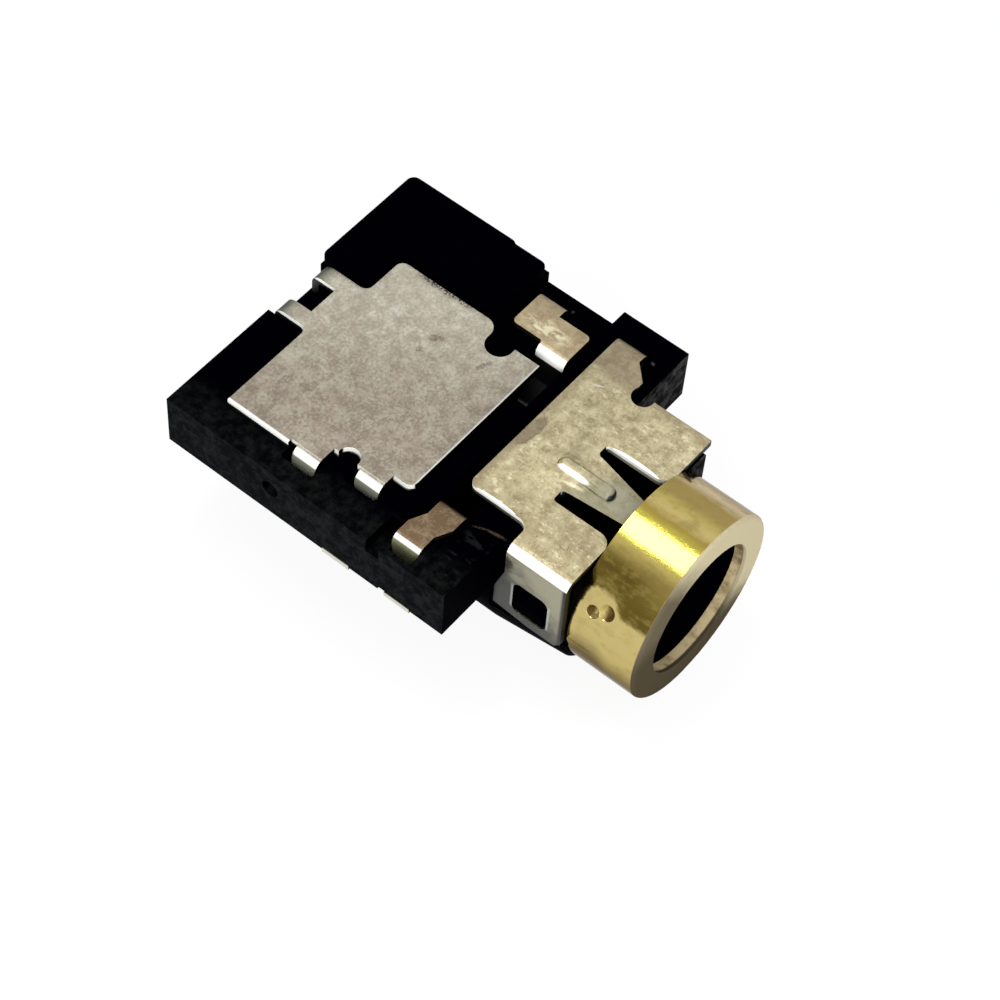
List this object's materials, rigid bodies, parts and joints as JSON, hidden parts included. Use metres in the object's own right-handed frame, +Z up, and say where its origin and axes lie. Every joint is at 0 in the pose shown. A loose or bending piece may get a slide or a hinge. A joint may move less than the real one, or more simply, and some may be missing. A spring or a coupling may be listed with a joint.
{
  "type": "stereo jack socket",
  "caption": "Low stereo jack socket for small audio plugs: black plastic body with a brass entry ring, folded ground bracket, flat metal top cover and spring contacts with solder tails.",
  "frame": {"origin": "middle of the mouth, on the plug's axis at the front face of the entry ring", "axes": "+Y the way the plug goes in, +Z up away from the circuit board, +X to the right as seen from behind the plug"},
  "size_m": [0.0105, 0.0142, 0.0058],
  "materials": {
    "housing": "moulded matte black",
    "barrel": "turned, lightly worn",
    "front_bracket": "dull plated sheet",
    "top_cover": "dull plated sheet",
    "contact": "dull plated spring strip"
  },
  "bodies": {
    "root": {"housing": "housing", "barrel": "barrel", "front_bracket": "front_bracket", "top_cover": "top_cover", "sleeve_contact": "contact", "ring_contact": "contact", "tip_contact": "contact", "tip_switch": "contact"}
  },
  "joints": []
}
